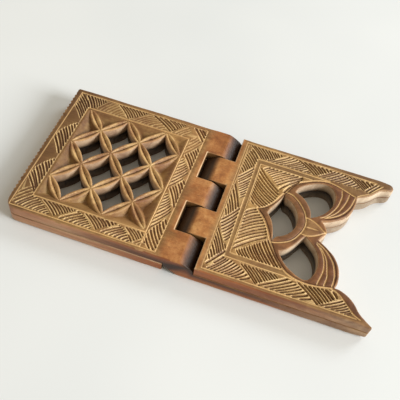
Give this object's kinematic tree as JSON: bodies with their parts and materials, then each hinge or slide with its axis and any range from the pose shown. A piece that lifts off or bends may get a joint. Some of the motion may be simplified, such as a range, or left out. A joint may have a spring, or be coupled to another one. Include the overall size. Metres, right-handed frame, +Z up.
{
  "type": "folding book stand",
  "caption": "Carved wooden folding book stand (rehal) made from interlocking leaves with a pinless knuckle hinge, pierced lattice panels and scalloped feet; stored folded flat.",
  "frame": {"origin": "centre of the bounding box at the underside the folded stand lies on", "axes": "+X from the latticed book panels towards the feet, +Y across the board towards its far edge, +Z up through the thickness of the folded board"},
  "size_m": [0.346, 0.165, 0.023],
  "materials": {
    "front_leaf_wood": "hand carved close-grained hardwood, dry oiled, dark in the cuts, worn light on the ridges and orange at the knuckles",
    "back_leaf_wood": "hand carved close-grained hardwood, dry oiled, dark in the cuts, worn light on the ridges and orange at the knuckles"
  },
  "bodies": {
    "back_leaf": {"back_leaf": "back_leaf_wood"},
    "front_leaf": {"front_leaf": "front_leaf_wood"}
  },
  "joints": [
    {"name": "knuckle_hinge", "type": "hinge", "parent": "back_leaf", "child": "front_leaf", "pos_m": [-0.002, 0, 0.0115], "axis": [0, 1, 0], "range_deg": [0, 100]}
  ]
}
